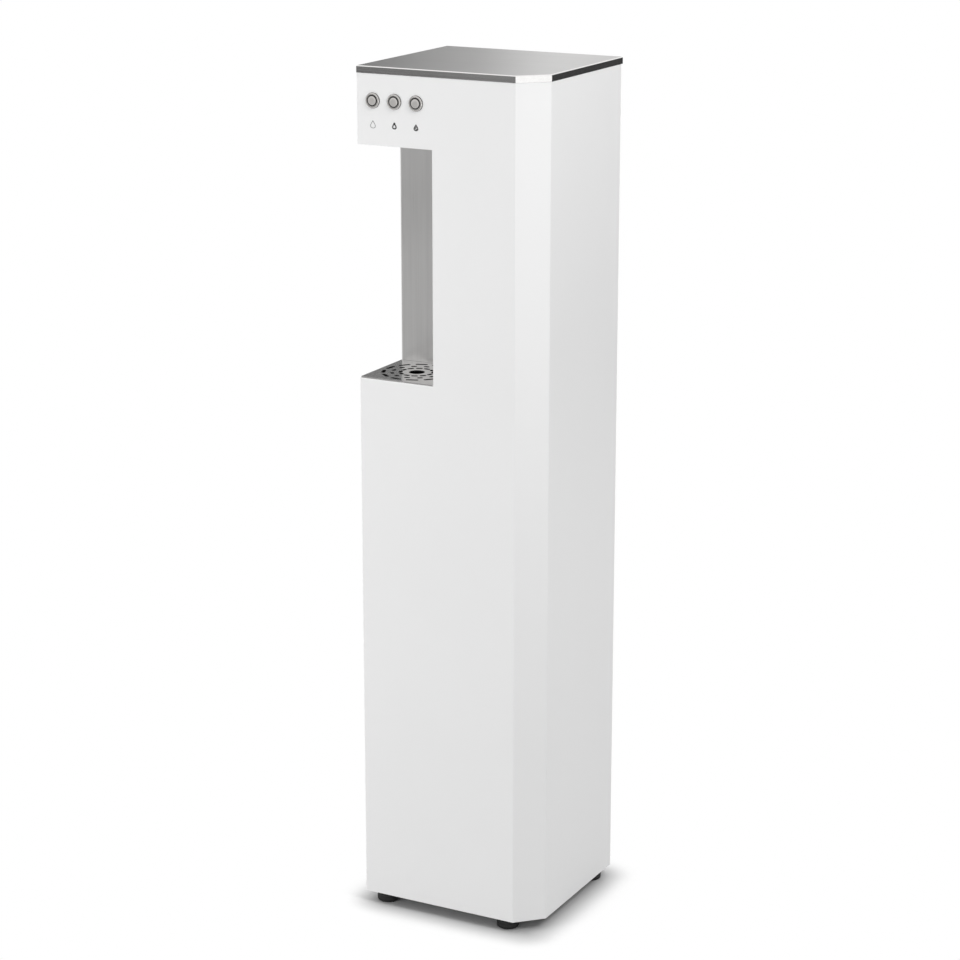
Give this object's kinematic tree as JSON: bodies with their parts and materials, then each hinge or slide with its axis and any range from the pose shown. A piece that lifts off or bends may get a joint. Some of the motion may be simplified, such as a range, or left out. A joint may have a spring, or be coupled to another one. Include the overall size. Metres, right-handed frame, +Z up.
{
  "type": "water cooler",
  "caption": "Slim floor-standing plumbed-in water cooler with a white folded steel body, stainless lid, open dispensing niche, slotted drip grille and metal push buttons.",
  "frame": {"origin": "on the floor under the middle of the cabinet", "axes": "+Z up, the front with the buttons faces -Y, +X to the right of a person facing it"},
  "size_m": [0.283, 0.266, 1.25],
  "materials": {
    "white_paint": "fine white powder coat",
    "stainless": "brushed stainless steel",
    "galvanised": "galvanised sheet",
    "button_steel": "turned stainless steel",
    "ring_black": "smooth dark translucent plastic, unlit",
    "foot_black": "moulded black rubber",
    "zinc": "zinc plated thread",
    "tray_black": "black moulded plastic",
    "inlet_black": "black moulded plastic",
    "compressor_black": "black enamel",
    "copper": "drawn copper",
    "fin_aluminium": "mill finish",
    "insulation": "moulded insulated plastic",
    "tube_plastic": "milky tube",
    "filter_white": "smooth white plastic",
    "fitting_grey": "grey moulded plastic",
    "cylinder_grey": "aluminium cylinder in grey paint",
    "brass": "machined brass",
    "board_green": "coated circuit board"
  },
  "bodies": {
    "cabinet": {"base_pan": "galvanised", "button_housings": "button_steel", "carbonator": "stainless", "carbonator_pump": "fitting_grey", "compressor": "compressor_black", "compressor_mounts": "foot_black", "condenser_fins": "fin_aluminium", "condenser_tube": "copper", "control_board": "board_green", "control_box": "tray_black", "cooling_tank": "insulation", "cylinder_strap": "galvanised", "evaporator_coil": "copper", "fan_motor": "compressor_black", "fan_shroud": "tray_black", "filter_head": "fitting_grey", "fixing_nuts": "zinc", "front_panel": "white_paint", "gas_cylinder": "cylinder_grey", "gas_regulator": "brass", "gas_tube": "tube_plastic", "left_panel": "white_paint", "lid_brackets": "galvanised", "mid_shelf": "galvanised", "niche_ceiling": "stainless", "niche_liner": "stainless", "nozzle": "stainless", "nozzle_manifold": "fitting_grey", "power_contacts": "brass", "power_inlet": "inlet_black", "rear_panel": "white_paint", "rear_panel_screws": "zinc", "refrigerant_line": "copper", "solenoid_valves": "fitting_grey", "tank_cover": "insulation", "top_lid": "stainless", "tray_well": "tray_black", "valve_bracket": "galvanised", "water_inlet": "fitting_grey", "water_tubes": "tube_plastic"},
    "ambient_button": {"ambient_button_cap": "button_steel", "ambient_button_ring": "ring_black"},
    "chilled_button": {"chilled_button_cap": "button_steel", "chilled_button_ring": "ring_black"},
    "sparkling_button": {"sparkling_button_cap": "button_steel", "sparkling_button_ring": "ring_black"},
    "tray": {"drip_tray": "tray_black"},
    "grille": {"drip_grille": "stainless"},
    "fan": {"fan_impeller": "tray_black"},
    "rocker": {"power_rocker": "inlet_black"},
    "filter": {"filter_cartridge": "filter_white"},
    "knob": {"regulator_knob": "tray_black"},
    "foot_front_left": {"foot_pad_front_left": "foot_black"},
    "stud_front_left": {"foot_stud_front_left": "zinc"},
    "foot_front_right": {"foot_pad_front_right": "foot_black"},
    "stud_front_right": {"foot_stud_front_right": "zinc"},
    "foot_rear_left": {"foot_pad_rear_left": "foot_black"},
    "stud_rear_left": {"foot_stud_rear_left": "zinc"},
    "foot_rear_right": {"foot_pad_rear_right": "foot_black"},
    "stud_rear_right": {"foot_stud_rear_right": "zinc"}
  },
  "joints": [
    {"name": "ambient_press", "type": "slide", "parent": "cabinet", "child": "ambient_button", "axis": [0, 1, 0], "range_m": [0, 0.0018], "stiffness_N_per_m": 1500, "springref_m": -0.001},
    {"name": "chilled_press", "type": "slide", "parent": "cabinet", "child": "chilled_button", "axis": [0, 1, 0], "range_m": [0, 0.0018], "stiffness_N_per_m": 1500, "springref_m": -0.001},
    {"name": "sparkling_press", "type": "slide", "parent": "cabinet", "child": "sparkling_button", "axis": [0, 1, 0], "range_m": [0, 0.0018], "stiffness_N_per_m": 1500, "springref_m": -0.001},
    {"name": "tray_lift", "type": "slide", "parent": "cabinet", "child": "tray", "axis": [0, 0, 1], "range_m": [0, 0.06]},
    {"name": "grille_lift", "type": "slide", "parent": "tray", "child": "grille", "axis": [0, 0, 1], "range_m": [0, 0.05]},
    {"name": "foot_front_left_height", "type": "slide", "parent": "cabinet", "child": "foot_front_left", "axis": [0, 0, -1], "range_m": [-0.00225, 0.012]},
    {"name": "stud_front_left_turn", "type": "hinge", "parent": "foot_front_left", "child": "stud_front_left", "pos_m": [-0.117, -0.106, 0.013], "axis": [0, 0, -1], "range_deg": [-545, 2885]},
    {"name": "foot_front_right_height", "type": "slide", "parent": "cabinet", "child": "foot_front_right", "axis": [0, 0, -1], "range_m": [-0.00225, 0.012]},
    {"name": "stud_front_right_turn", "type": "hinge", "parent": "foot_front_right", "child": "stud_front_right", "pos_m": [0.085, -0.106, 0.013], "axis": [0, 0, -1], "range_deg": [-545, 2885]},
    {"name": "foot_rear_left_height", "type": "slide", "parent": "cabinet", "child": "foot_rear_left", "axis": [0, 0, -1], "range_m": [-0.00225, 0.012]},
    {"name": "stud_rear_left_turn", "type": "hinge", "parent": "foot_rear_left", "child": "stud_rear_left", "pos_m": [-0.117, 0.106, 0.013], "axis": [0, 0, -1], "range_deg": [-545, 2885]},
    {"name": "foot_rear_right_height", "type": "slide", "parent": "cabinet", "child": "foot_rear_right", "axis": [0, 0, -1], "range_m": [-0.00225, 0.012]},
    {"name": "stud_rear_right_turn", "type": "hinge", "parent": "foot_rear_right", "child": "stud_rear_right", "pos_m": [0.117, 0.106, 0.013], "axis": [0, 0, -1], "range_deg": [-545, 2885]},
    {"name": "fan_spin", "type": "hinge", "parent": "cabinet", "child": "fan", "pos_m": [0, 0.08, 0.274], "axis": [0, 1, 0], "continuous": true},
    {"name": "rocker_tilt", "type": "hinge", "parent": "cabinet", "child": "rocker", "pos_m": [-0.056, 0.129, 0.11], "axis": [1, 0, 0], "range_deg": [-16, 0]},
    {"name": "filter_twist", "type": "hinge", "parent": "cabinet", "child": "filter", "pos_m": [0.0695, -0.045, 1.093], "axis": [0, 0, 1], "range_deg": [0, 90]},
    {"name": "knob_turn", "type": "hinge", "parent": "cabinet", "child": "knob", "pos_m": [0, -0.038, 0.4325], "axis": [1, 0, 0], "range_deg": [0, 720]}
  ],
  "couplings": [
    {"joint": "stud_front_left_turn", "follows": "foot_front_left_height", "rad_per_m": 4188.8},
    {"joint": "stud_front_right_turn", "follows": "foot_front_right_height", "rad_per_m": 4188.8},
    {"joint": "stud_rear_left_turn", "follows": "foot_rear_left_height", "rad_per_m": 4188.8},
    {"joint": "stud_rear_right_turn", "follows": "foot_rear_right_height", "rad_per_m": 4188.8}
  ]
}
